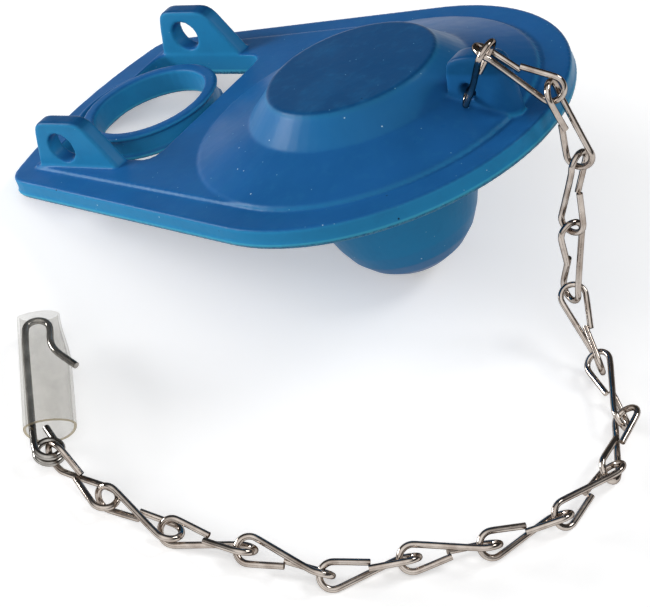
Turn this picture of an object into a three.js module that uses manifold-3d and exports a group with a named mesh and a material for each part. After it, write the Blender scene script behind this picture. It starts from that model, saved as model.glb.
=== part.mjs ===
// A cistern flapper at rest on a table, with its lift chain, wire clip and clear sleeve.
// Millimetres and degrees. The table is the plane z = 0 and +X runs from the hinge ears to the chain lug.
import * as THREE from "three";
import { mergeVertices } from "three/addons/utils/BufferGeometryUtils.js";
import Module from "manifold-3d";

const wasm = await Module();
wasm.setup();

// Flapper plate. Its own frame has the disc's centre on the axis and the plate's top face at z = 0.
const DISC_RADIUS = 44;
const PLATE_THICKNESS = 4.6;
const EDGE_ROUND = 0.5;
const FLASH_HEIGHT = 0.3; // the mould's parting line stands proud round the edge
const FLASH_PROUD = 0.3;
const FLASH_ABOVE_BASE = 1;
const REAR_CORNER_X = -81;
const REAR_CORNER_HALF_WIDTH = 30;
const REAR_CORNER_ROUND = 5;
const REAR_BOW = 3.5;
const ARC_STEPS = 56;
const CORNER_STEPS = 4;
const BOW_STEPS = 8;

// Raised pad, shallow cone and flat-topped dome.
const ARM_STEP = 0.7;
const ARM_REAR_X = -76;
const ARM_REAR_HALF_WIDTH = 25.6;
const PAD_RADIUS = 37.3;
const PAD_STEP = 1.1;
const CONE_TOP_RADIUS = 24.2;
const CONE_TOP_HEIGHT = 5.1;
const DOME_RADIUS = 18.9;
const DOME_HEIGHT = 10.8;
const DOME_ROUND = 0.9;

// Hollow bulb under the plate, open at a vent in its tip.
const BULB_RADIUS = 24;
const BULB_TIP_RADIUS = 17;
const BULB_TIP_DEPTH = 21.2; // from the plate's top face to the centre of the round tip
const BULB_WALL = 2.4;
const VENT_RADIUS = 4;

// Window between the arms, and the ring that slides on the overflow tube.
const WINDOW_FRONT_X = -43.4;
const WINDOW_REAR_X = -75;
const WINDOW_HALF_WIDTH = 21.6;
const WINDOW_ROUND = 4;
const RING_X = -60.9;
const RING_BORE_RADIUS = 13.2;
const RING_WALL = 3.1;
const RING_TOP = 1.9;
const RING_BOTTOM = -4.1;
const RING_BEAD = 1.3;
const RING_GROOVE = 0.8;
const BAR_BEAD_RADIUS = 0.9;
const BAR_BEAD_OFFSET = 2.2;
const BAR_BEAD_HALF_ANGLE = 38;
const BAR_BEAD_STEPS = 12;

// Hinge ears, one on each arm.
const EAR_INNER_Y = 21.8;
const EAR_THICKNESS = 3.8;
const EAR_REAR_X = -75;
const EAR_TOP_REAR_X = -70.4;
const EAR_TOP_FRONT_X = -57;
const EAR_FRONT_X = -48.5;
const EAR_HEIGHT = 12;
const EAR_ROUND = 2.8;
const EAR_BASE_ROUND = 2.5;
const EAR_EDGE_ROUND = 0.5;
const EAR_HOLE_X = -64.8;
const EAR_HOLE_HEIGHT = 5.6;
const EAR_HOLE_RADIUS = 3.6;

// Chain lug on the front of the dome.
const LUG_REAR_X = 22.5;
const LUG_FRONT_X = 39.6;
const LUG_TOP_REAR_X = 25.8;
const LUG_TOP_MIDDLE_X = 32;
const LUG_HEIGHT = 14.4;
const LUG_SHOULDER_DROP = 1.2;
const LUG_HALF_THICKNESS = 2.45;
const LUG_NOSE_LENGTH = 5;
const LUG_ROUND = 2.6;
const LUG_BASE_ROUND = 2;
const LUG_EDGE_ROUND = 0.6;
const LUG_HOLE_X = 29.2;
const LUG_HOLE_HEIGHT = 6.3;
const LUG_HOLE_RADIUS = 1.8;

// Chain: links of bent wire, each with an open teardrop loop at both ends, a quarter turn apart.
const LINK_COUNT = 16;
const LINK_WIRE = 1.4;
const LINK_LENGTH = 20.8; // over the wire
const LINK_GAP = 0.3;
const CROWN_RADIUS = 2.6; // of the wire's centre line
const FIRST_LINK_LEAN = 14; // from upright, towards the front
const FIRST_LEG_LENGTH = 16.8; // from the hole to the far crown
const FIRST_LEG_OUT = LUG_HALF_THICKNESS + LINK_WIRE + 1.15; // the leg stands clear of the lug's near face
const FIRST_LEG_FORWARD = 1.3;
const FIRST_TAIL_OUT = LUG_HALF_THICKNESS + LINK_WIRE + 0.5; // the bare end past the lug's far face
const CLIP_CROWN_RADIUS = 3.3; // the last link's wider loop takes the clip's coil
const LOOP_CLOSE = 14; // how far each loop goes on turning past a half circle
const LEG_END_OFFSET = 0.95;
const LEG_END_PAST_MIDDLE = 0.3;
const WIRE_SIDES = 6;
const LINK_STEPS = 30;

// Where each link meets the next, from the first link's far end to the clip's coil.
// The chain falls clear of the rim, then lies on the table with its loops pushed into each other.
const CHAIN_MEETINGS = [
  [43.6, -1.2, 62.2],
  [49.5, 0.1, 46],
  [49.7, -1.5, 28.8],
  [51.2, -2.4, 11.6],
  [62.3, -10.2, 3.4],
  [72.8, -20.2, 2.6],
  [76.2, -34.8, 2.6],
  [74.2, -49.7, 2.6],
  [65.7, -64.1, 2.6],
  [55.6, -73.8, 2.6],
  [44, -86.3, 2.6],
  [27.4, -89.3, 2.6],
  [13.1, -92.4, 2.7],
  [-2.1, -92.1, 3.1],
  [-16.1, -89.2, 4.05],
];
// Each link's own play about its length, beyond what the link before it gives.
const LINK_PLAY = [10, 17, 17, 22, 24, 20, 0, 0, 0, 0, 0, 0, -13, -18, -18];

// Wire clip, in its own plane: u runs from the coil to the top bend, v to the right, w up.
const CLIP_WIRE = 1.5;
const CLIP_HEADING = 130;
const CLIP_PLANE_HEIGHT = 5.2;
const COIL_RADIUS = 2.6;
const COIL_GAP = 0.25;
const COIL_START = 190;
const COIL_END = 744;
const CLIP_LEG_V = -3.05;
const CLIP_TOP_U = 35.6;
const CLIP_TOP_RADIUS = 2.5;
const CLIP_TOP_STEPS = 6;
const CLIP_KINK_U = 27.5;
const CLIP_END_U = 21.4;
const CLIP_END_V = 6.8;
const CLIP_TAIL_U = 7.6;
const CLIP_TAIL_V = -0.3;
const CLIP_STEPS = 76;

// Clear sleeve pushed over the clip; its far end is pinched in on one side.
const SLEEVE_RADIUS = 5.4;
const SLEEVE_WALL = 0.6;
const SLEEVE_START_U = 5;
const SLEEVE_LENGTH = 32;
const SLEEVE_AXIS_V = 0.6;
const SLEEVE_PINCH = 0.32;
const SLEEVE_PINCH_LENGTH = 15;
const SLEEVE_PIERCE_CLEARANCE = 0.3;

const rad = THREE.MathUtils.degToRad;
const X_AXIS = new THREE.Vector3(1, 0, 0);
const Y_AXIS = new THREE.Vector3(0, 1, 0);
const Z_AXIS = new THREE.Vector3(0, 0, 1);

const rubber = new THREE.MeshStandardMaterial({ color: 0x1f5a93, roughness: 0.45, metalness: 0 });
const steel = new THREE.MeshStandardMaterial({ color: 0xc8c4bd, roughness: 0.22, metalness: 1 });
const clipSteel = new THREE.MeshStandardMaterial({ color: 0x8f9088, roughness: 0.3, metalness: 1 });
const vinyl = new THREE.MeshStandardMaterial({
  color: 0xe4e6e4,
  roughness: 0.15,
  metalness: 0,
  transparent: true,
  opacity: 0.35,
});

function toSolid(geometry) {
  const bare = geometry.index ? geometry.toNonIndexed() : geometry.clone();
  bare.deleteAttribute("normal");
  bare.deleteAttribute("uv");
  const merged = mergeVertices(bare, 1e-4);
  const mesh = new wasm.Mesh({
    numProp: 3,
    vertProperties: new Float32Array(merged.attributes.position.array),
    triVerts: new Uint32Array(merged.index.array),
  });
  return new wasm.Manifold(mesh);
}

function toMesh(solid, material, name) {
  const data = solid.getMesh();
  const geometry = new THREE.BufferGeometry();
  geometry.setAttribute("position", new THREE.BufferAttribute(new Float32Array(data.vertProperties), 3));
  geometry.setIndex(new THREE.BufferAttribute(new Uint32Array(data.triVerts), 1));
  geometry.computeVertexNormals();
  return named(new THREE.Mesh(geometry, material), name);
}

function named(mesh, name) {
  mesh.name = name;
  return mesh;
}

// A revolved solid from [radius, height] pairs, with its axis along Z.
function revolve(profile, segments) {
  const points = profile.map(([radius, height]) => new THREE.Vector2(radius, height));
  return new THREE.LatheGeometry(points, segments).rotateX(Math.PI / 2);
}

// A revolved profile that is a closed loop off the axis.
function revolveLoop(profile, segments) {
  return revolve([...profile, profile[0]], segments);
}

function prism(shape, low, high, curveSegments, bevel = 0) {
  const geometry = new THREE.ExtrudeGeometry(shape, {
    depth: high - low - 2 * bevel,
    curveSegments,
    bevelEnabled: bevel > 0,
    bevelThickness: bevel,
    bevelSize: bevel,
    bevelOffset: -bevel,
    bevelSegments: 2,
  });
  return geometry.translate(0, 0, low + bevel);
}

// A prism whose outline is drawn in x and height, running from y = near to y = far.
function uprightPrism(shape, near, far, curveSegments, bevel = 0) {
  return prism(shape, -far, -near, curveSegments, bevel).rotateX(Math.PI / 2);
}

function crossCylinder(x, height, radius, halfLength, segments) {
  return new THREE.CylinderGeometry(radius, radius, 2 * halfLength, segments).translate(x, 0, height);
}

// A closed outline through corner points, each rounded by its own radius.
function roundedOutline(corners) {
  const shape = new THREE.Shape();
  corners.forEach(({ at, round }, i) => {
    const before = corners[(i + corners.length - 1) % corners.length].at;
    const after = corners[(i + 1) % corners.length].at;
    const start = at.clone().add(before.clone().sub(at).setLength(round));
    const end = at.clone().add(after.clone().sub(at).setLength(round));
    if (i === 0) shape.moveTo(start.x, start.y);
    else shape.lineTo(start.x, start.y);
    shape.quadraticCurveTo(at.x, at.y, end.x, end.y);
  });
  shape.closePath();
  return shape;
}

// The disc with two straight sides that leave it on tangents and run back to the rear corners.
function discWithArms(radius, rearX, rearHalfWidth, cornerRound, bow) {
  const reach = Math.hypot(rearX, rearHalfWidth);
  const leave = Math.atan2(rearHalfWidth, rearX) - Math.acos(radius / reach);
  const touch = new THREE.Vector2(Math.cos(leave), Math.sin(leave)).multiplyScalar(radius);
  const corner = new THREE.Vector2(rearX, rearHalfWidth);
  const side = corner.clone().add(touch.sub(corner).setLength(cornerRound));
  const rear = new THREE.Vector2(rearX - bow / 5, rearHalfWidth - cornerRound);
  const middle = new THREE.Vector2(rearX - 1.8 * bow, 0);
  const mirrored = (point) => new THREE.Vector2(point.x, -point.y);
  const bend = (from, by, to, steps) => new THREE.QuadraticBezierCurve(from, by, to).getPoints(steps);
  const points = [
    ...new THREE.EllipseCurve(0, 0, radius, radius, -leave, leave, false).getPoints(ARC_STEPS),
    ...bend(side, corner, rear, CORNER_STEPS),
    ...bend(rear, middle, mirrored(rear), BOW_STEPS).slice(1, -1),
    ...bend(mirrored(rear), mirrored(corner), mirrored(side), CORNER_STEPS),
  ];
  return new THREE.Shape(points);
}

function plateSolid() {
  const grown = (grow) =>
    discWithArms(
      DISC_RADIUS + grow,
      REAR_CORNER_X - grow,
      REAR_CORNER_HALF_WIDTH + grow,
      REAR_CORNER_ROUND,
      REAR_BOW,
    );
  const flash = FLASH_ABOVE_BASE - PLATE_THICKNESS;
  const body = toSolid(prism(grown(0), -PLATE_THICKNESS, 0, 1, EDGE_ROUND));
  const line = toSolid(prism(grown(FLASH_PROUD), flash, flash + FLASH_HEIGHT, 1));
  return body.add(line);
}

function armPadSolid() {
  const outline = discWithArms(PAD_RADIUS, ARM_REAR_X, ARM_REAR_HALF_WIDTH, 1.5, 0);
  return toSolid(prism(outline, -PLATE_THICKNESS / 2, ARM_STEP, 1));
}

// Pad, cone and dome above; bulb below; one hollow through both that opens at the vent.
function discBodySolid() {
  const tipTurns = 5;
  const drop = BULB_TIP_DEPTH - PLATE_THICKNESS;
  // where the side leaves the round tip on a tangent, measured below the tip's widest level
  const slant = Math.atan2(drop, BULB_RADIUS);
  const tangent = Math.acos(BULB_TIP_RADIUS / Math.hypot(BULB_RADIUS, drop)) - slant;
  const tip = (radius, from, to) =>
    Array.from({ length: tipTurns + 1 }, (_, i) => {
      const angle = from + ((to - from) * i) / tipTurns;
      return [radius * Math.cos(angle), -BULB_TIP_DEPTH - radius * Math.sin(angle)];
    });
  const outer = [
    [0, -BULB_TIP_DEPTH - BULB_TIP_RADIUS],
    ...tip(BULB_TIP_RADIUS, Math.PI / 2, tangent).slice(1),
    [BULB_RADIUS, -PLATE_THICKNESS + EDGE_ROUND],
    [PAD_RADIUS, -PLATE_THICKNESS + EDGE_ROUND],
    [PAD_RADIUS, PAD_STEP - EDGE_ROUND],
    [PAD_RADIUS - EDGE_ROUND, PAD_STEP],
    [CONE_TOP_RADIUS + DOME_ROUND, CONE_TOP_HEIGHT - DOME_ROUND * 0.3],
    [CONE_TOP_RADIUS, CONE_TOP_HEIGHT],
    [DOME_RADIUS, DOME_HEIGHT - DOME_ROUND],
    [DOME_RADIUS - DOME_ROUND * 0.4, DOME_HEIGHT - DOME_ROUND * 0.3],
    [DOME_RADIUS - DOME_ROUND, DOME_HEIGHT],
    [0, DOME_HEIGHT],
  ];
  const ventAngle = Math.acos(VENT_RADIUS / (BULB_TIP_RADIUS - BULB_WALL));
  const inner = [
    [0, -BULB_TIP_DEPTH - 2 * BULB_TIP_RADIUS],
    [VENT_RADIUS, -BULB_TIP_DEPTH - 2 * BULB_TIP_RADIUS],
    ...tip(BULB_TIP_RADIUS - BULB_WALL, ventAngle, tangent),
    [BULB_RADIUS - BULB_WALL, -PLATE_THICKNESS],
    [CONE_TOP_RADIUS - BULB_WALL, CONE_TOP_HEIGHT - BULB_WALL],
    [DOME_RADIUS - BULB_WALL, DOME_HEIGHT - BULB_WALL],
    [0, DOME_HEIGHT - BULB_WALL],
  ];
  return { outer: toSolid(revolve(outer, 56)), hollow: toSolid(revolve(inner, 28)) };
}

function windowSolid() {
  const corner = (x, y) => ({ at: new THREE.Vector2(x, y), round: WINDOW_ROUND });
  const outline = roundedOutline([
    corner(WINDOW_FRONT_X, -WINDOW_HALF_WIDTH),
    corner(WINDOW_FRONT_X, WINDOW_HALF_WIDTH),
    corner(WINDOW_REAR_X, WINDOW_HALF_WIDTH),
    corner(WINDOW_REAR_X, -WINDOW_HALF_WIDTH),
  ]);
  return toSolid(prism(outline, -2 * PLATE_THICKNESS, PLATE_THICKNESS, 4));
}

// A band with a bead round its top and bottom and a groove between them.
function ringSolid() {
  const outer = RING_BORE_RADIUS + RING_WALL;
  const band = outer - RING_GROOVE;
  const round = RING_BEAD / 3;
  const profile = [
    [RING_BORE_RADIUS, RING_BOTTOM + round],
    [RING_BORE_RADIUS + round, RING_BOTTOM],
    [outer - round, RING_BOTTOM],
    [outer, RING_BOTTOM + round],
    [outer, RING_BOTTOM + RING_BEAD - round],
    [band, RING_BOTTOM + RING_BEAD],
    [band, RING_TOP - RING_BEAD],
    [outer, RING_TOP - RING_BEAD + round],
    [outer, RING_TOP - round],
    [outer - round, RING_TOP],
    [RING_BORE_RADIUS + round, RING_TOP],
    [RING_BORE_RADIUS, RING_TOP - round],
  ];
  return toSolid(revolveLoop(profile, 40).translate(RING_X, 0, 0));
}

// A low bead on the rear bar that follows the ring.
function barBeadSolid() {
  const radius = RING_BORE_RADIUS + RING_WALL + BAR_BEAD_OFFSET;
  const points = Array.from({ length: BAR_BEAD_STEPS + 1 }, (_, i) => {
    const angle = Math.PI + rad(BAR_BEAD_HALF_ANGLE) * ((2 * i) / BAR_BEAD_STEPS - 1);
    return new THREE.Vector3(RING_X + radius * Math.cos(angle), radius * Math.sin(angle), 0);
  });
  const section = new THREE.Shape().absarc(0, 0, BAR_BEAD_RADIUS, 0, 2 * Math.PI, false);
  return toSolid(
    new THREE.ExtrudeGeometry(section, {
      steps: 14,
      curveSegments: 4,
      extrudePath: new THREE.CatmullRomCurve3(points),
      bevelEnabled: false,
    }),
  );
}

function ringBoreSolid() {
  const height = RING_TOP - RING_BOTTOM + 4 * PLATE_THICKNESS;
  const bore = new THREE.CylinderGeometry(RING_BORE_RADIUS, RING_BORE_RADIUS, height, 40);
  return toSolid(bore.rotateX(Math.PI / 2).translate(RING_X, 0, 0));
}

function earSolid(side) {
  const corner = (x, height, round) => ({ at: new THREE.Vector2(x, height), round });
  const outline = roundedOutline([
    corner(EAR_REAR_X, -PLATE_THICKNESS / 2, EAR_BASE_ROUND),
    corner(EAR_FRONT_X, -PLATE_THICKNESS / 2, EAR_BASE_ROUND),
    corner(EAR_TOP_FRONT_X, EAR_HEIGHT, EAR_ROUND),
    corner(EAR_TOP_REAR_X, EAR_HEIGHT, EAR_ROUND),
  ]);
  const outerY = EAR_INNER_Y + EAR_THICKNESS;
  const near = side > 0 ? EAR_INNER_Y : -outerY;
  const far = side > 0 ? outerY : -EAR_INNER_Y;
  return toSolid(uprightPrism(outline, near, far, 4, EAR_EDGE_ROUND));
}

// The lug is its side view cut to a boat-shaped plan with a rounded nose.
function lugSolid() {
  const corner = (x, height, round) => ({ at: new THREE.Vector2(x, height), round });
  const shoulder = LUG_HEIGHT - LUG_SHOULDER_DROP;
  const side = roundedOutline([
    corner(LUG_REAR_X, 0, LUG_BASE_ROUND),
    corner(LUG_FRONT_X, 0, LUG_BASE_ROUND),
    corner(LUG_FRONT_X - 0.4, shoulder, LUG_ROUND),
    corner(LUG_TOP_MIDDLE_X, LUG_HEIGHT, LUG_ROUND),
    corner(LUG_TOP_REAR_X, shoulder, LUG_ROUND),
  ]);
  const plan = new THREE.Shape();
  plan.moveTo(LUG_REAR_X - 1, -LUG_HALF_THICKNESS);
  plan.lineTo(LUG_FRONT_X - LUG_NOSE_LENGTH, -LUG_HALF_THICKNESS);
  plan.bezierCurveTo(
    LUG_FRONT_X - LUG_NOSE_LENGTH / 3,
    -LUG_HALF_THICKNESS,
    LUG_FRONT_X,
    -LUG_HALF_THICKNESS / 2,
    LUG_FRONT_X,
    0,
  );
  plan.bezierCurveTo(
    LUG_FRONT_X,
    LUG_HALF_THICKNESS / 2,
    LUG_FRONT_X - LUG_NOSE_LENGTH / 3,
    LUG_HALF_THICKNESS,
    LUG_FRONT_X - LUG_NOSE_LENGTH,
    LUG_HALF_THICKNESS,
  );
  plan.lineTo(LUG_REAR_X - 1, LUG_HALF_THICKNESS);
  plan.closePath();
  const sideSolid = toSolid(uprightPrism(side, -LUG_HALF_THICKNESS, LUG_HALF_THICKNESS, 4, LUG_EDGE_ROUND));
  return sideSolid.intersect(toSolid(prism(plan, -1, LUG_HEIGHT + 1, 6)));
}

function flapperMesh() {
  const disc = discBodySolid();
  const earHole = crossCylinder(EAR_HOLE_X, EAR_HOLE_HEIGHT, EAR_HOLE_RADIUS, 2 * EAR_INNER_Y, 28);
  const lugHole = crossCylinder(LUG_HOLE_X, LUG_HOLE_HEIGHT, LUG_HOLE_RADIUS, 2 * LUG_HALF_THICKNESS, 16);
  const solid = plateSolid()
    .add(armPadSolid())
    .subtract(windowSolid())
    .add(disc.outer)
    .add(ringSolid())
    .add(barBeadSolid())
    .add(earSolid(1))
    .add(earSolid(-1))
    .add(lugSolid())
    .subtract(ringBoreSolid())
    .subtract(disc.hollow)
    .subtract(toSolid(earHole))
    .subtract(toSolid(lugHole));
  return toMesh(solid, rubber, "flapper_body");
}

// The plate leans back until the bulb's round tip and the rear edge's lower corner both meet the table.
function restTilt() {
  const reach = REAR_BOW - REAR_CORNER_X;
  const depth = BULB_TIP_DEPTH - PLATE_THICKNESS;
  return Math.asin(BULB_TIP_RADIUS / Math.hypot(reach, depth)) + Math.atan2(depth, reach);
}

function sweepWire(points, diameter, steps) {
  const section = new THREE.Shape().absarc(0, 0, diameter / 2, 0, 2 * Math.PI, false);
  return new THREE.ExtrudeGeometry(section, {
    steps,
    curveSegments: WIRE_SIDES / 2,
    extrudePath: new THREE.CatmullRomCurve3(points, false, "centripetal"),
    bevelEnabled: false,
  });
}

// One end loop of a link, from the end of its free leg round the crown to where the spine starts.
// The crown is at x = -reach and the loop lies in the xy plane.
function loopPoints(reach, crownRadius) {
  const centre = crownRadius - reach;
  const turns = 8;
  const arc = Array.from({ length: turns + 1 }, (_, i) => {
    const angle = rad(90 - LOOP_CLOSE + ((180 + 2 * LOOP_CLOSE) * i) / turns);
    return new THREE.Vector3(centre + crownRadius * Math.cos(angle), crownRadius * Math.sin(angle), 0);
  });
  return [new THREE.Vector3(LEG_END_PAST_MIDDLE, LEG_END_OFFSET, 0), ...arc];
}

// The loop at the other end, crown at x = reach, turned about x and run from the spine to its free leg.
function farLoopPoints(reach, crownRadius, turn) {
  return loopPoints(reach, crownRadius)
    .map((point) => new THREE.Vector3(-point.x, point.y, 0).applyAxisAngle(X_AXIS, turn))
    .reverse();
}

// The first link's near end: through the lug's hole, out of the near face, round and up.
function lugHookPoints(reach) {
  const at = (along, out, back) =>
    new THREE.Vector3(along - reach, FIRST_LEG_OUT + out, back * FIRST_LEG_FORWARD);
  return [
    at(0, FIRST_TAIL_OUT, 1),
    at(0, 1.5, 1),
    at(0, -1.5, 1),
    at(-0.2, 1.9 - FIRST_LEG_OUT, 0.8),
    at(-0.7, 0.8 - FIRST_LEG_OUT, 0.3),
    at(-0.5, -FIRST_LEG_OUT, 0),
    at(0.8, -0.2 - FIRST_LEG_OUT, 0),
    at(4, -FIRST_LEG_OUT, 0),
  ];
}

function linkMesh(number, points, crown, reach, direction, across) {
  const link = new THREE.Mesh(sweepWire(points, LINK_WIRE, LINK_STEPS), steel);
  const up = new THREE.Vector3().crossVectors(direction, across);
  link.setRotationFromMatrix(new THREE.Matrix4().makeBasis(direction, across, up));
  link.position.copy(crown).addScaledVector(direction, reach);
  return named(link, "chain_link_" + String(number).padStart(2, "0"));
}

// The unit vector along a vector's shadow on the plane of two square unit vectors.
function inPlane(vector, first, second) {
  const shadow = first.clone().multiplyScalar(vector.dot(first));
  return shadow.addScaledVector(second, vector.dot(second)).normalize();
}

// Lays the chain link by link from one meeting place to the next. A link hangs square to the loop
// before it, slides round that loop's crown as it turns, and backs into the loop where there is slack.
function layChain(hole) {
  let before = new THREE.Vector3(Math.sin(rad(FIRST_LINK_LEAN)), 0, Math.cos(rad(FIRST_LINK_LEAN)));
  let width = Y_AXIS.clone();
  const foot = hole.clone().addScaledVector(width, -FIRST_LEG_OUT);
  foot.addScaledVector(new THREE.Vector3().crossVectors(before, width), -FIRST_LEG_FORWARD);
  let end = foot.clone().addScaledVector(before, FIRST_LEG_LENGTH);
  const firstReach = FIRST_LEG_LENGTH / 2;
  const firstWire = [...lugHookPoints(firstReach), ...farLoopPoints(firstReach, CROWN_RADIUS, 0)];
  const meshes = [linkMesh(1, firstWire, foot, firstReach, before, width)];

  const bearing = LINK_WIRE + LINK_GAP;
  const reach = (LINK_LENGTH - LINK_WIRE) / 2;
  let meeting = end.clone().addScaledVector(before, -bearing / 2);
  for (let number = 2; number <= LINK_COUNT; number++) {
    const way = new THREE.Vector3(...CHAIN_MEETINGS[number - 2]).sub(meeting);
    const overlap = Math.max(reach - way.length() / 2, bearing / 2);
    const direction = way.clone().normalize();
    const normal = before.clone().multiplyScalar(direction.dot(width));
    normal.addScaledVector(width, -direction.dot(before));
    const across = new THREE.Vector3().crossVectors(normal, direction).normalize();
    across.applyAxisAngle(direction, rad(LINK_PLAY[number - 2]));

    const crown = end.clone().addScaledVector(before, -CROWN_RADIUS);
    crown.addScaledVector(inPlane(direction, before, width), CROWN_RADIUS);
    crown.addScaledVector(inPlane(before, direction, across), CROWN_RADIUS - bearing);
    crown.addScaledVector(direction, -CROWN_RADIUS);
    const wanted = meeting.clone().addScaledVector(direction, -overlap);
    const slack = Math.max(0, crown.clone().sub(wanted).dot(direction));
    crown.addScaledVector(direction, -slack);

    const farCrown = number === LINK_COUNT ? CLIP_CROWN_RADIUS : CROWN_RADIUS;
    const wire = [...loopPoints(reach, CROWN_RADIUS), ...farLoopPoints(reach, farCrown, Math.PI / 2)];
    meshes.push(linkMesh(number, wire, crown, reach, direction, across));
    end = crown.clone().addScaledVector(direction, 2 * reach);
    meeting = end.clone().addScaledVector(direction, -overlap);
    before = direction;
    width = new THREE.Vector3().crossVectors(direction, across);
  }
  return { meshes, end };
}

function clipPoints() {
  const turns = 18;
  const pitch = CLIP_WIRE + COIL_GAP;
  const coil = Array.from({ length: turns + 1 }, (_, i) => {
    const angle = rad(COIL_START + ((COIL_END - COIL_START) * i) / turns);
    const rise = (pitch * (angle - rad(COIL_START))) / (2 * Math.PI);
    return new THREE.Vector3(COIL_RADIUS * Math.sin(angle), -COIL_RADIUS * Math.cos(angle), -rise);
  });
  const legTop = CLIP_TOP_U - CLIP_TOP_RADIUS;
  const top = Array.from({ length: CLIP_TOP_STEPS + 1 }, (_, i) => {
    const angle = Math.PI * (1 - i / CLIP_TOP_STEPS);
    const v = CLIP_LEG_V + CLIP_TOP_RADIUS * (1 + Math.cos(angle));
    return new THREE.Vector3(legTop + CLIP_TOP_RADIUS * Math.sin(angle), -v, 0);
  });
  const kinkV = CLIP_LEG_V + 2 * CLIP_TOP_RADIUS;
  const tailRise = coil[turns].z;
  return [
    new THREE.Vector3(CLIP_END_U, -CLIP_END_V, 0),
    new THREE.Vector3(CLIP_KINK_U - 1, -kinkV - 0.8, 0),
    new THREE.Vector3(CLIP_KINK_U + 1.5, -kinkV, 0),
    ...top.reverse(),
    new THREE.Vector3(legTop / 2, -CLIP_LEG_V, 0),
    ...coil,
    new THREE.Vector3(CLIP_TAIL_U, -CLIP_TAIL_V, tailRise),
  ];
}

function clipMesh() {
  return named(new THREE.Mesh(sweepWire(clipPoints(), CLIP_WIRE, CLIP_STEPS), clipSteel), "chain_clip");
}

// The sleeve lies along u on its own axis; only the far end of one side is pinched in.
function sleeveMesh() {
  const inner = SLEEVE_RADIUS - SLEEVE_WALL;
  const rings = 5;
  const edge = (radius, i) => [radius, SLEEVE_START_U + (SLEEVE_LENGTH * i) / rings];
  const outside = Array.from({ length: rings + 1 }, (_, i) => edge(SLEEVE_RADIUS, i));
  const inside = Array.from({ length: rings + 1 }, (_, i) => edge(inner, rings - i));
  const geometry = revolveLoop([...outside, ...inside], 24).rotateY(Math.PI / 2);
  const position = geometry.attributes.position;
  const end = SLEEVE_START_U + SLEEVE_LENGTH;
  for (let i = 0; i < position.count; i++) {
    const along = (position.getX(i) - end + SLEEVE_PINCH_LENGTH) / SLEEVE_PINCH_LENGTH;
    const pinch = 1 - SLEEVE_PINCH * THREE.MathUtils.smoothstep(along, 0, 1);
    if (position.getY(i) < 0) position.setY(i, position.getY(i) * pinch);
  }
  geometry.translate(0, -SLEEVE_AXIS_V, SLEEVE_RADIUS - CLIP_PLANE_HEIGHT);
  const from = new THREE.Vector3(CLIP_KINK_U - 1, -CLIP_LEG_V - 2 * CLIP_TOP_RADIUS - 0.8, 0);
  const to = new THREE.Vector3(CLIP_END_U, -CLIP_END_V, 0);
  const way = to.clone().sub(from);
  const radius = CLIP_WIRE / 2 + SLEEVE_PIERCE_CLEARANCE;
  const pierce = new THREE.CylinderGeometry(radius, radius, 2 * way.length(), 12);
  pierce.applyQuaternion(new THREE.Quaternion().setFromUnitVectors(Y_AXIS, way.normalize()));
  pierce.translate(to.x, to.y, to.z);
  return toMesh(toSolid(geometry).subtract(toSolid(pierce)), vinyl, "clip_sleeve");
}

function assemble() {
  const part = new THREE.Group();
  const tilt = restTilt();
  const flapper = new THREE.Group();
  flapper.add(flapperMesh());
  flapper.rotation.y = -tilt;
  flapper.position.z = BULB_TIP_RADIUS + BULB_TIP_DEPTH * Math.cos(tilt);
  flapper.updateMatrixWorld(true);
  part.add(flapper);

  const hole = new THREE.Vector3(LUG_HOLE_X, 0, LUG_HOLE_HEIGHT).applyMatrix4(flapper.matrixWorld);
  const laid = layChain(hole.addScaledVector(Z_AXIS, -LINK_GAP));
  laid.meshes.forEach((link) => part.add(link));

  const clip = new THREE.Group();
  clip.add(clipMesh(), sleeveMesh());
  clip.rotation.z = rad(CLIP_HEADING);
  clip.position.set(laid.end.x, laid.end.y, CLIP_PLANE_HEIGHT);
  part.add(clip);

  part.updateMatrixWorld(true);
  const box = new THREE.Box3().setFromObject(part, true);
  part.position.set(-(box.min.x + box.max.x) / 2, -(box.min.y + box.max.y) / 2, -box.min.z);
  return part;
}

const part = assemble();
const root = new THREE.Group();
root.add(part);
export default root;
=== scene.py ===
import math
import bpy
from mathutils import Matrix, Vector


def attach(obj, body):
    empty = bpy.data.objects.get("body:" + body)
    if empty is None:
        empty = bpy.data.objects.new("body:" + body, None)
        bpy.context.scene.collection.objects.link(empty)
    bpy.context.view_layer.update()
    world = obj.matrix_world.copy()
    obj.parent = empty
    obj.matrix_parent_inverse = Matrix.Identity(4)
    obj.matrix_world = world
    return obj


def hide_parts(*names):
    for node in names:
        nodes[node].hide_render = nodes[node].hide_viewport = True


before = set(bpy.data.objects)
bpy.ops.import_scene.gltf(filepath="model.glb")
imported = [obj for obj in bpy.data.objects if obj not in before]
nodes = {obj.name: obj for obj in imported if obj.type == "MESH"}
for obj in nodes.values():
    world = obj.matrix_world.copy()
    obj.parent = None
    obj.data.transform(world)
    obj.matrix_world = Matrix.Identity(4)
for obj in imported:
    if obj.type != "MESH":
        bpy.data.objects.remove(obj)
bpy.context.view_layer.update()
MM = 0.001
X, Y, Z = Vector((1, 0, 0)), Vector((0, 1, 0)), Vector((0, 0, 1))

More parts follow.
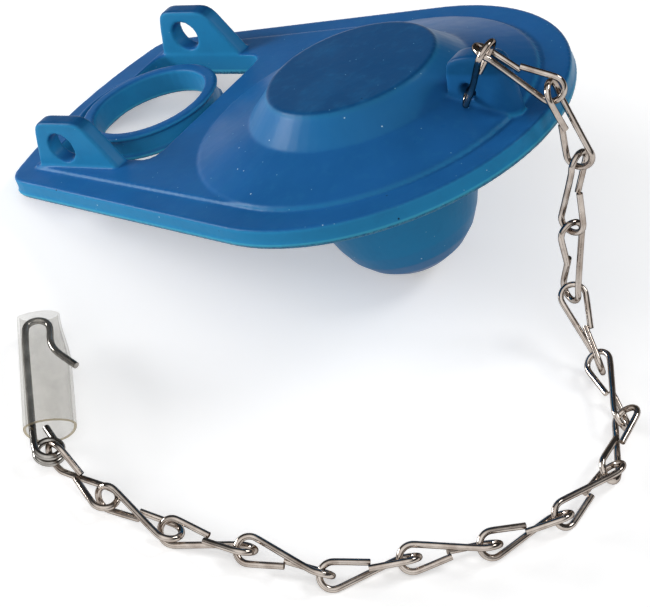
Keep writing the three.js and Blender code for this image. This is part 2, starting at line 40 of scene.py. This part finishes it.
# Sizes of the flapper, in mm, as the CAD model has them. HOLE is the lug's hole, seen from the disc's
# centre. The flapper rests on the bulb's tip and on the arms' far end, REACH from the disc's centre, and
# that gives its tilt. OFFSET takes the model's own origin to the frame's.
HOLE = Vector((29.2, 0.0, 6.3))
TIP_RADIUS, TIP_DEPTH, PLATE, REACH = 17.0, 21.2, 4.6, 84.5
OFFSET = Vector((-1.301, 25.937, 0.092))
TILT = math.asin(TIP_RADIUS / math.hypot(REACH, TIP_DEPTH - PLATE)) + math.atan2(TIP_DEPTH - PLATE, REACH)
TOP = Vector((0, 0, TIP_RADIUS + TIP_DEPTH * math.cos(TILT))) + OFFSET
PLATE_PLACE = -(Matrix.Rotation(TILT, 3, "Y") @ TOP) * MM

# Sizes of the chain, in mm and degrees. MEETINGS are the places where each link from the second on meets
# the next one, or at the last of them the clip. PLAY is how far each of these links is turned about its
# own length.
WIRE, GAP, CROWN, LENGTH = 1.4, 0.3, 2.6, 20.8
LEG_OUT, LEG_FORWARD, TAIL_OUT, LEG_LENGTH = 5.0, 1.3, 4.35, 16.8
LUG_LEAN = 14
LAST_CROWN = 3.3
MEETINGS = [
    (43.6, -1.2, 62.2), (49.5, 0.1, 46), (49.7, -1.5, 28.8), (51.2, -2.4, 11.6), (62.3, -10.2, 3.4),
    (72.8, -20.2, 2.6), (76.2, -34.8, 2.6), (74.2, -49.7, 2.6), (65.7, -64.1, 2.6), (55.6, -73.8, 2.6),
    (44, -86.3, 2.6), (27.4, -89.3, 2.6), (13.1, -92.4, 2.7), (-2.1, -92.1, 3.1), (-16.1, -89.2, 4.05),
]
PLAY = [10, 17, 17, 22, 24, 20, 0, 0, 0, 0, 0, 0, -13, -18, -18]
# Room taken off the links' wire so that none cuts another when it turns. Links 6 and 7 turn closest.
WIRE_ROOM, CLOSE_ROOM, CLOSE_LINKS = 0.08, 0.15, (6, 7)
LINK_STEPS, CLIP_STEPS, WIRE_SIDES = 110, 220, 14

# Sizes of the clip and its sleeve, in mm and degrees.
CLIP_HEIGHT, CLIP_HEADING = 5.2, 130
CLIP_WIRE, CLIP_WIRE_SHOWN = 1.5, 1.46
COIL_RADIUS, COIL_GAP, COIL_START, COIL_TURN, COIL_STEPS = 2.6, 0.25, 190, 554, 36
LEG_SIDE, TOP_REACH, TOP_RADIUS, TOP_STEPS = -3.05, 35.6, 2.5, 6
SLEEVE_RADIUS, SLEEVE_WALL, SLEEVE_START, SLEEVE_LENGTH = 5.36, 0.6, 5.1, 31.85
SLEEVE_DROP, SLEEVE_SIDES, SLEEVE_RINGS = 0.6, 72, 48
PINCH_LENGTH, PINCH_NARROWING = 15, 0.32
# Half heights of the sleeve above and below the wire: at the open end, and what the pinch takes off.
HALF_ABOVE, PINCH_ABOVE, HALF_BELOW, PINCH_BELOW = 2.35, 0.8, 4.6, 2.7

# The photograph's camera: a long lens, of which the focal length is given in pixels.
FOCAL_PX, WIDTH_PX, SENSOR = 2200, 650, 36.0
EYE = Vector((181.9, -307.7, 326.1))
RIGHT, FORWARD = Vector((0.848, 0.530, 0.001)), Vector((-0.381, 0.610, -0.695))


def rotated(v, axis, degrees):
    return Matrix.Rotation(math.radians(degrees), 3, axis) @ v


def in_plane(v, a, b):
    """The direction of v within the plane of a and b."""
    return (a * v.dot(a) + b * v.dot(b)).normalized()


def loop(reach, crown, close=14.0, turns=16):
    """The teardrop loop at a link's near end, from the wire's free end by the link's middle round it."""
    centre = crown - reach
    pts = [Vector((0.3, 0.95, 0.0))]
    for i in range(turns + 1):
        a = math.radians(90 - close + (180 + 2 * close) * i / turns)
        pts.append(Vector((centre + crown * math.cos(a), crown * math.sin(a), 0)))
    return pts


def far_loop(reach, crown, degrees):
    """The loop at a link's far end, turned about the link's length."""
    return [rotated(Vector((-p.x, p.y, 0)), X, degrees) for p in loop(reach, crown)][::-1]


def lug_hook(reach):
    """The first link's near end, which goes through the lug's hole and turns up beside the lug."""
    def at(along, out, back):
        return Vector((along - reach, LEG_OUT + out, back * LEG_FORWARD))
    return [at(0, TAIL_OUT, 1), at(0, 1.5, 1), at(0, -1.5, 1), at(-0.2, -3.1, 0.8),
            at(-0.7, 0.8 - LEG_OUT, 0.3), at(-0.5, -LEG_OUT, 0), at(0.8, -0.2 - LEG_OUT, 0), at(4, -LEG_OUT, 0)]


def smooth_line(points, steps, between=24):
    """Evenly spaced points on the centripetal curve through the given ones."""
    ends = [2 * points[0] - points[1]] + points + [2 * points[-1] - points[-2]]
    fine = []
    for k in range(1, len(ends) - 2):
        p0, p1, p2, p3 = ends[k - 1:k + 3]
        d0, d1, d2 = (math.sqrt((b - a).length) or 1.0 for a, b in ((p0, p1), (p1, p2), (p2, p3)))
        t1 = ((p1 - p0) / d0 - (p2 - p0) / (d0 + d1) + (p2 - p1) / d1) * d1
        t2 = ((p2 - p1) / d1 - (p3 - p1) / (d1 + d2) + (p3 - p2) / d2) * d1
        for i in range(between):
            t = i / between
            square, cube = -3 * p1 + 3 * p2 - 2 * t1 - t2, 2 * p1 - 2 * p2 + t1 + t2
            fine.append(p1 + t1 * t + square * t * t + cube * t ** 3)
    fine.append(points[-1])
    run = [0.0]
    for a, b in zip(fine, fine[1:]):
        run.append(run[-1] + (b - a).length)
    out, k = [], 0
    for i in range(steps + 1):
        want = run[-1] * i / steps
        while k < len(run) - 2 and run[k + 1] < want:
            k += 1
        span = run[k + 1] - run[k]
        out.append(fine[k].lerp(fine[k + 1], (want - run[k]) / span if span else 0))
    return out


def wire_mesh(name, points, diameter, steps, sides=WIRE_SIDES):
    """A round wire, swept without twist along the smooth line through the points, with closed ends."""
    line = smooth_line(points, steps)
    tangents = [(line[min(i + 1, steps)] - line[max(i - 1, 0)]).normalized() for i in range(steps + 1)]
    normal = tangents[0].orthogonal().normalized()
    verts, faces = [], []
    for i, (p, t) in enumerate(zip(line, tangents)):
        normal = (normal - t * normal.dot(t)).normalized()
        side = t.cross(normal)
        for j in range(sides):
            a = 2 * math.pi * j / sides
            verts.append((p + (normal * math.cos(a) + side * math.sin(a)) * diameter / 2) * MM)
        if i:
            a, b = (i - 1) * sides, i * sides
            faces += [(a + j, a + (j + 1) % sides, b + (j + 1) % sides, b + j) for j in range(sides)]
    last = steps * sides
    faces += [tuple(range(sides))[::-1], tuple(range(last, last + sides))]
    mesh = bpy.data.meshes.new(name)
    mesh.from_pydata([tuple(v) for v in verts], [], faces)
    mesh.shade_smooth()
    mesh.set_sharp_from_angle(angle=math.radians(50))
    return mesh


def softened(source, name, voxel=0.00035, rounds=5, faces=170000):
    """The moulded shape with its facets and sharp edges smoothed, as rubber leaves a mould."""
    obj = bpy.data.objects.new(name, source.data.copy())
    bpy.context.scene.collection.objects.link(obj)
    remesh = obj.modifiers.new("remesh", "REMESH")
    remesh.mode, remesh.voxel_size = "VOXEL", voxel
    smooth = obj.modifiers.new("smooth", "SMOOTH")
    smooth.factor, smooth.iterations = 0.5, rounds
    for step in ("smoothed", "thinned"):
        mesh = bpy.data.meshes.new_from_object(obj.evaluated_get(bpy.context.evaluated_depsgraph_get()))
        obj.modifiers.clear()
        obj.data = mesh
        if step == "smoothed":
            obj.modifiers.new("thin", "DECIMATE").ratio = min(1.0, faces / (2 * len(mesh.polygons)))
    mesh.materials.clear()
    mesh.shade_smooth()
    return obj


def add(name, mesh, matrix, body, node, material):
    """One piece of the visual model in its place, riding a body and standing in for a CAD node."""
    mesh.transform(matrix)
    obj = bpy.data.objects.new(name, mesh)
    bpy.context.scene.collection.objects.link(obj)
    mesh.materials.append(material)
    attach(obj, body)
    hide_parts(node)
    return obj


def placed(origin, along, across):
    """The matrix from a wire's own axes, in metres, to its place in the frame."""
    up = along.cross(across)
    m = Matrix((along, across, up)).transposed().to_4x4()
    m.translation = (origin + OFFSET) * MM
    return m


def chain():
    """Each link's points and place, from the lug on, and the place where the chain ends."""
    hole = Matrix.Rotation(-TILT, 3, "Y") @ HOLE + TOP - OFFSET - Z * GAP
    lean = math.radians(LUG_LEAN)
    before, width = Vector((math.sin(lean), 0, math.cos(lean))), Y.copy()
    rough_foot_highlight = hole - width * LEG_OUT - before.cross(width) * LEG_FORWARD
    end = rough_foot_highlight + before * LEG_LENGTH
    half = LEG_LENGTH / 2
    links = [(lug_hook(half) + far_loop(half, CROWN, 0), rough_foot_highlight + before * half, before, width)]
    bearing = WIRE + GAP
    reach = (LENGTH - WIRE) / 2
    meeting = end - before * bearing / 2
    for k, (stop, play) in enumerate(zip(MEETINGS, PLAY)):
        way = Vector(stop) - meeting
        overlap = max(reach - way.length / 2, bearing / 2)
        along = way.normalized()
        normal = before * along.dot(width) - width * along.dot(before)
        across = rotated(normal.cross(along).normalized(), along, play)
        # the link starts where its wire passes through the loop of the one before, and no nearer
        crown = end - before * CROWN + in_plane(along, before, width) * CROWN
        crown = crown + in_plane(before, along, across) * (CROWN - bearing) - along * CROWN
        crown = crown - along * max(0.0, (crown - (meeting - along * overlap)).dot(along))
        far = LAST_CROWN if k == len(MEETINGS) - 1 else CROWN
        links.append((loop(reach, CROWN) + far_loop(reach, far, 90), crown + along * reach, along, across))
        end = crown + along * 2 * reach
        meeting = end - along * overlap
        before, width = along, along.cross(across)
    return links, end


def clip_points():
    """The clip's wire: short leg with its kink, top bend, long leg, coil and tail."""
    start = math.radians(COIL_START)
    coil = []
    for i in range(COIL_STEPS + 1):
        a = math.radians(COIL_START + COIL_TURN * i / COIL_STEPS)
        drop = -(CLIP_WIRE + COIL_GAP) * (a - start) / (2 * math.pi)
        coil.append(Vector((COIL_RADIUS * math.sin(a), -COIL_RADIUS * math.cos(a), drop)))
    top = []
    for i in range(TOP_STEPS + 1):
        a = math.pi * (1 - i / TOP_STEPS)
        top.append(Vector((TOP_REACH - TOP_RADIUS + TOP_RADIUS * math.sin(a),
                           -(LEG_SIDE + TOP_RADIUS * (1 + math.cos(a))), 0)))
    kink = LEG_SIDE + 2 * TOP_RADIUS
    return ([Vector((21.4, -6.8, 0)), Vector((26.5, -kink - 0.8, 0)), Vector((29, -kink, 0))] + top[::-1]
            + [Vector(((TOP_REACH - TOP_RADIUS) / 2, -LEG_SIDE, 0))] + coil + [Vector((7.6, 0.3, coil[-1].z))])


def sleeve_mesh():
    """The clear tube, oval at its open end and pressed flatter about the wire's bend at the other."""
    sides, rings = SLEEVE_SIDES, SLEEVE_RINGS
    verts, faces = [], []
    for shell in (SLEEVE_RADIUS, SLEEVE_RADIUS - SLEEVE_WALL):
        for i in range(rings + 1):
            u = SLEEVE_START + SLEEVE_LENGTH * i / rings
            t = min(max((u - SLEEVE_START - SLEEVE_LENGTH + PINCH_LENGTH) / PINCH_LENGTH, 0), 1)
            ease = t * t * (3 - 2 * t)
            for j in range(sides):
                a = 2 * math.pi * j / sides
                y, z = shell * math.cos(a), math.sin(a)
                y = y * (1 - PINCH_NARROWING * ease) if y < 0 else y
                tall = HALF_ABOVE - PINCH_ABOVE * ease if z > 0 else HALF_BELOW - PINCH_BELOW * ease
                z = (tall + shell - SLEEVE_RADIUS) * z
                verts.append((u * MM, (y - SLEEVE_DROP) * MM, z * MM))
    ring = (rings + 1) * sides
    for i in range(rings):
        for j in range(sides):
            a, b = i * sides + j, i * sides + (j + 1) % sides
            faces.append((a, a + sides, b + sides, b))
            faces.append((a + ring, b + ring, b + sides + ring, a + sides + ring))
    for j in range(sides):
        k, e = (j + 1) % sides, rings * sides
        faces.append((e + k, e + j, e + j + ring, e + k + ring))
    cut = len(faces)
    faces += [(j, (j + 1) % sides, (j + 1) % sides + ring, j + ring) for j in range(sides)]
    mesh = bpy.data.meshes.new("sleeve")
    mesh.from_pydata(verts, [], faces)
    mesh.shade_smooth()
    for face in mesh.polygons[cut:]:
        face.material_index = 1
    mesh.set_sharp_from_angle(angle=math.radians(45))
    return mesh


# Materials
def new_material(name):
    material = bpy.data.materials.new(name)
    material.use_nodes = True
    tree = material.node_tree
    return material, tree, tree.nodes["Principled BSDF"]


def node(tree, kind, inputs=None, **settings):
    """A new shader node. An input is linked where its value is a socket, and else set."""
    made = tree.nodes.new(kind)
    for key, value in settings.items():
        setattr(made, key, value)
    for key, value in (inputs or {}).items():
        if hasattr(value, "is_output"):
            tree.links.new(value, made.inputs[key])
        else:
            made.inputs[key].default_value = value
    return made


def noise(tree, where, scale, detail=4.0, rough=0.55):
    inputs = {"Vector": where, "Scale": scale, "Detail": detail, "Roughness": rough}
    return node(tree, "ShaderNodeTexNoise", inputs).outputs["Fac"]


def ramp(tree, value, low, high, a=0.0, b=1.0):
    """The value taken from the range low to high to the range a to b."""
    inputs = {"Value": value, "From Min": low, "From Max": high, "To Min": a, "To Max": b}
    return node(tree, "ShaderNodeMapRange", inputs).outputs["Result"]


def mix(tree, factor, a, b):
    made = node(tree, "ShaderNodeMix", data_type="RGBA")
    for key, value in ((0, factor), (6, a), (7, b)):
        if hasattr(value, "is_output"):
            tree.links.new(value, made.inputs[key])
        else:
            made.inputs[key].default_value = value
    return made.outputs[2]


def maths(tree, operation, a, b):
    return node(tree, "ShaderNodeMath", {0: a, 1: b}, operation=operation).outputs[0]


def times(tree, a, b):
    return maths(tree, "MULTIPLY", a, b)


def bump(tree, height, strength, distance, normal=None):
    inputs = {"Strength": strength, "Distance": distance, "Height": height}
    if normal is not None:
        inputs["Normal"] = normal
    return node(tree, "ShaderNodeBump", inputs).outputs["Normal"]


def specks(tree, where, scale, size, share):
    """A mask of small dots: one in a share of the cells, each within size of its cell's point."""
    cells = node(tree, "ShaderNodeTexVoronoi", {"Vector": where, "Scale": scale, "Randomness": 1.0})
    near = ramp(tree, cells.outputs["Distance"], size, size * 0.5)
    chosen = node(tree, "ShaderNodeSeparateColor", {"Color": cells.outputs["Color"]}).outputs["Red"]
    return times(tree, near, ramp(tree, chosen, 1 - share, 1 - share + 0.01))


def band(tree, mask, value, low, high):
    """The mask where the value lies between low and high, with a soft edge a fifth of the width wide."""
    soft = (high - low) / 5
    rise = ramp(tree, value, low - soft, low + soft)
    return times(tree, times(tree, mask, rise), ramp(tree, value, high + soft, high - soft))


def rubber_material():
    """Moulded blue rubber: bluer on its broad faces; its walls painted paler and greener as painted light from
    the side, except the lug's, which keep a painted shade.
    """
    material, tree, shader = new_material("blue rubber")
    where = node(tree, "ShaderNodeTexCoord").outputs["Object"]
    # the place and the normal on the plate's own axes, before it was tilted
    mapping = {"Vector": where, "Location": PLATE_PLACE, "Rotation": (0, TILT, 0)}
    plate = node(tree, "ShaderNodeMapping", mapping).outputs[0]
    mapping = {"Vector": node(tree, "ShaderNodeNewGeometry").outputs["Normal"], "Rotation": (0, TILT, 0)}
    facing = node(tree, "ShaderNodeMapping", mapping, vector_type="NORMAL").outputs[0]
    upright = node(tree, "ShaderNodeSeparateXYZ", {"Vector": facing}).outputs["Z"]
    level = node(tree, "ShaderNodeMath", {0: upright}, operation="ABSOLUTE").outputs[0]
    parts = node(tree, "ShaderNodeSeparateXYZ", {"Vector": plate})
    height = parts.outputs["Z"]
    # Painted light: walls that face sideways are painted paler and greener, as if lit from the side; the lug's
    # walls get little of it, a painted shade.
    shaded_lug = times(tree, ramp(tree, parts.outputs["X"], 0.021, 0.022), ramp(tree, height, 0.0008, 0.0016))
    painted_lit_walls = times(tree, ramp(tree, level, 0.9, 0.35), ramp(tree, shaded_lug, 0, 1, 1, 0.15))
    dome_top = ramp(tree, height, 0.0096, 0.0106)
    cloud = noise(tree, where, 38, 5)
    smear = noise(tree, where, 90, 7, 0.7)
    fine = noise(tree, where, 420, 6, 0.6)
    crumbs = ramp(tree, noise(tree, where, 1300, 5, 0.7), 0.4, 0.62)
    # the rim's wall, from the top down: a line of flash, a darker strip and a rough foot, the foot painted
    # paler as a painted highlight along the bottom edge
    line = band(tree, painted_lit_walls, height, -0.0037, -0.0032)
    strip = band(tree, painted_lit_walls, height, -0.0044, -0.0037)
    rough_foot_highlight = band(tree, painted_lit_walls, height, -0.0048, -0.0043)
    rough_rim = times(tree, maths(tree, "MAXIMUM", strip, rough_foot_highlight), crumbs)
    colour = mix(tree, ramp(tree, cloud, 0.35, 0.68), (0.0095, 0.084, 0.245, 1), (0.0125, 0.102, 0.3, 1))
    layers = [
        (times(tree, dome_top, 0.8), (0.0045, 0.05, 0.145, 1)),
        # painted light: the sideways walls painted paler and greener, as if lit from the side
        (times(tree, painted_lit_walls, 0.8), (0.02, 0.22, 0.43, 1)),
        (ramp(tree, smear, 0.5, 0.72, 0, 0.3), (0.012, 0.12, 0.29, 1)),
        (ramp(tree, fine, 0.52, 0.75, 0, 0.25), (0.02, 0.14, 0.3, 1)),
        (times(tree, strip, 0.75), (0.008, 0.075, 0.17, 1)),
        (times(tree, line, 0.7), (0.05, 0.34, 0.5, 1)),
        # painted highlight: the rim's rough foot painted paler along its bottom edge
        (times(tree, rough_foot_highlight, 0.55), (0.035, 0.27, 0.42, 1)),
        (times(tree, rough_rim, 0.6), (0.1, 0.42, 0.52, 1)),
        (specks(tree, where, 520, 0.10, 0.05), (0.45, 0.65, 0.75, 1)),
        (specks(tree, where, 900, 0.14, 0.06), (0.14, 0.34, 0.48, 1)),
        (specks(tree, where, 420, 0.12, 0.03), (0.002, 0.01, 0.03, 1)),
    ]
    for share, paint in layers:
        colour = mix(tree, share, colour, paint)
    tree.links.new(colour, shader.inputs["Base Color"])
    tree.links.new(ramp(tree, smear, 0.3, 0.7, 0.27, 0.4), shader.inputs["Roughness"])
    shader.inputs["IOR"].default_value = 1.15
    grain = bump(tree, fine, 0.25, 0.00012)
    waves = bump(tree, noise(tree, where, 60, 3), 0.25, 0.0005, grain)
    tree.links.new(bump(tree, rough_rim, 0.5, 0.0003, waves), shader.inputs["Normal"])
    return material


def wire_material(name, light, dark, rough):
    """Bright drawn wire with faint stains, and a painted shade that makes it darker where it turns away."""
    material, tree, shader = new_material(name)
    where = node(tree, "ShaderNodeTexCoord").outputs["Object"]
    stain = noise(tree, where, 300, 5)
    tree.links.new(mix(tree, ramp(tree, stain, 0.4, 0.7), light, dark), shader.inputs["Base Color"])
    scuffs = ramp(tree, noise(tree, where, 900, 4), 0.3, 0.7, rough, rough + 0.1)
    tree.links.new(scuffs, shader.inputs["Roughness"])
    shader.inputs["Metallic"].default_value = 1.0
    # Painted shade: the edge tint, near black, darkens the wire where it turns away.
    shader.inputs["Specular Tint"].default_value = (0.02, 0.015, 0.012, 1)
    tree.links.new(bump(tree, noise(tree, where, 1500, 3), 0.15, 0.00008), shader.inputs["Normal"])
    return material


def vinyl_material(name, tint, low, high, body):
    """Clear vinyl: see-through in the middle and hazier, from low to high, towards its edges."""
    material, tree, shader = new_material(name)
    where = node(tree, "ShaderNodeTexCoord").outputs["Object"]
    shader.inputs["Base Color"].default_value = body
    haze = noise(tree, where, 220, 5)
    tree.links.new(ramp(tree, haze, 0.3, 0.7, 0.1, 0.2), shader.inputs["Roughness"])
    tree.links.new(bump(tree, noise(tree, where, 160, 3), 0.2, 0.0002), shader.inputs["Normal"])
    clear = node(tree, "ShaderNodeBsdfTransparent", {"Color": tint})
    edge = node(tree, "ShaderNodeLayerWeight", {"Blend": 0.3}).outputs["Facing"]
    dusty = times(tree, ramp(tree, haze, 0.45, 0.7), 0.05)
    solid = maths(tree, "ADD", ramp(tree, edge, 0.3, 1.0, low, high), dusty)
    both = node(tree, "ShaderNodeMixShader", {"Fac": solid, 1: clear.outputs[0], 2: shader.outputs[0]})
    tree.links.new(both.outputs[0], tree.nodes["Material Output"].inputs["Surface"])
    return material


rubber = rubber_material()
chain_steel = wire_material("bright wire", (0.56, 0.5, 0.45, 1), (0.34, 0.28, 0.24, 1), 0.07)
clip_steel = wire_material("grey wire", (0.44, 0.42, 0.39, 1), (0.22, 0.205, 0.19, 1), 0.09)
vinyl = vinyl_material("clear vinyl", (0.915, 0.91, 0.9, 1), 0.05, 0.5, (0.55, 0.55, 0.53, 1))
cut_vinyl = vinyl_material("cut vinyl", (0.8, 0.74, 0.6, 1), 0.5, 0.8, (0.36, 0.3, 0.2, 1))

# The object
flapper = softened(nodes["flapper_body"], "rubber_flapper")
flapper.data.materials.append(rubber)
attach(flapper, "flapper")
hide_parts("flapper_body")

links, chain_end = chain()
for k, (points, origin, along, across) in enumerate(links, 1):
    number = "%02d" % k
    room = CLOSE_ROOM if k in CLOSE_LINKS else WIRE_ROOM
    mesh = wire_mesh("wire_" + number, points, WIRE - room, LINK_STEPS)
    add("wire_link_" + number, mesh, placed(origin, along, across), "link_" + number,
        "chain_link_" + number, chain_steel)

heading = math.radians(CLIP_HEADING)
clip_frame = placed(Vector((chain_end.x, chain_end.y, CLIP_HEIGHT)),
                    Vector((math.cos(heading), math.sin(heading), 0)),
                    Vector((-math.sin(heading), math.cos(heading), 0)))
clip_mesh = wire_mesh("clip", clip_points(), CLIP_WIRE_SHOWN, CLIP_STEPS)
add("clip_wire", clip_mesh, clip_frame, "clip", "chain_clip", clip_steel)
sleeve = add("sleeve", sleeve_mesh(), clip_frame, "clip", "clip_sleeve", vinyl)
sleeve.data.materials.append(cut_vinyl)


# Floor, light and camera
def plane(name, size, place, material):
    half = size / 2
    corners = [(-half, -half, 0), (half, -half, 0), (half, half, 0), (-half, half, 0)]
    mesh = bpy.data.meshes.new(name)
    mesh.from_pydata(corners, [], [(0, 1, 2, 3)])
    obj = bpy.data.objects.new(name, mesh)
    bpy.context.scene.collection.objects.link(obj)
    obj.location = place
    mesh.materials.append(material)


def lamp(name, place, target, size, size_y, watts):
    data = bpy.data.lights.new(name, "AREA")
    data.shape = "RECTANGLE"
    data.size, data.size_y, data.energy = size, size_y, watts
    obj = bpy.data.objects.new(name, data)
    bpy.context.scene.collection.objects.link(obj)
    obj.location = place
    obj.rotation_euler = (Vector(target) - Vector(place)).to_track_quat("-Z", "Y").to_euler()


# The table looks white to the camera and in reflections, and lights the object only as pale paper does.
paper, tree, shader = new_material("white paper")
where = node(tree, "ShaderNodeTexCoord").outputs["Object"]
fibres = mix(tree, noise(tree, where, 400, 4), (0.86, 0.86, 0.86, 1), (0.9, 0.9, 0.9, 1))
tree.links.new(fibres, shader.inputs["Base Color"])
shader.inputs["Roughness"].default_value = 0.9
shader.inputs["Specular IOR Level"].default_value = 0.0
shader.inputs["Emission Color"].default_value = (1, 1, 1, 1)
seen = node(tree, "ShaderNodeLightPath")
eyes = maths(tree, "MAXIMUM", seen.outputs["Is Camera Ray"], seen.outputs["Is Glossy Ray"])
eyes = maths(tree, "MAXIMUM", eyes, seen.outputs["Is Transmission Ray"])
tree.links.new(times(tree, eyes, 0.35), shader.inputs["Emission Strength"])
plane("table", 6.0, (0, 0, -0.00005), paper)

lamp("key", (-0.8, -0.27, 0.17), (0, 0, 0.03), 0.34, 0.24, 6.8)
lamp("fill", (0.45, 0.5, 0.75), (0, 0, 0), 0.3, 0.3, 2.4)

# The studio is bright above and towards the camera, and dark at the back.
world = bpy.data.worlds.new("studio")
bpy.context.scene.world = world
world.use_nodes = True
tree = world.node_tree
tree.nodes.clear()
way = node(tree, "ShaderNodeTexCoord").outputs["Generated"]
front = node(tree, "ShaderNodeVectorMath", {0: way, 1: (0.2, -0.62, 0.76)}, operation="DOT_PRODUCT")
strength = ramp(tree, front.outputs["Value"], 0.5, 0.92, 0.05, 1.25)
soft = node(tree, "ShaderNodeBackground", {"Color": (1, 1, 1, 1), "Strength": strength})
node(tree, "ShaderNodeOutputWorld", {"Surface": soft.outputs[0]})

camera = bpy.data.cameras.new("camera")
camera.sensor_width = SENSOR
camera.lens = FOCAL_PX / WIDTH_PX * SENSOR
camera.clip_start = 0.01
eye = bpy.data.objects.new("camera", camera)
bpy.context.scene.collection.objects.link(eye)
right = RIGHT.normalized()
forward = FORWARD.normalized()
upward = right.cross(forward)
turn = Matrix((right, upward, -forward)).transposed().to_4x4()
turn.translation = (EYE + OFFSET) * MM
eye.matrix_world = turn
bpy.context.scene.camera = eye
bpy.context.scene.view_settings.view_transform = "Standard"
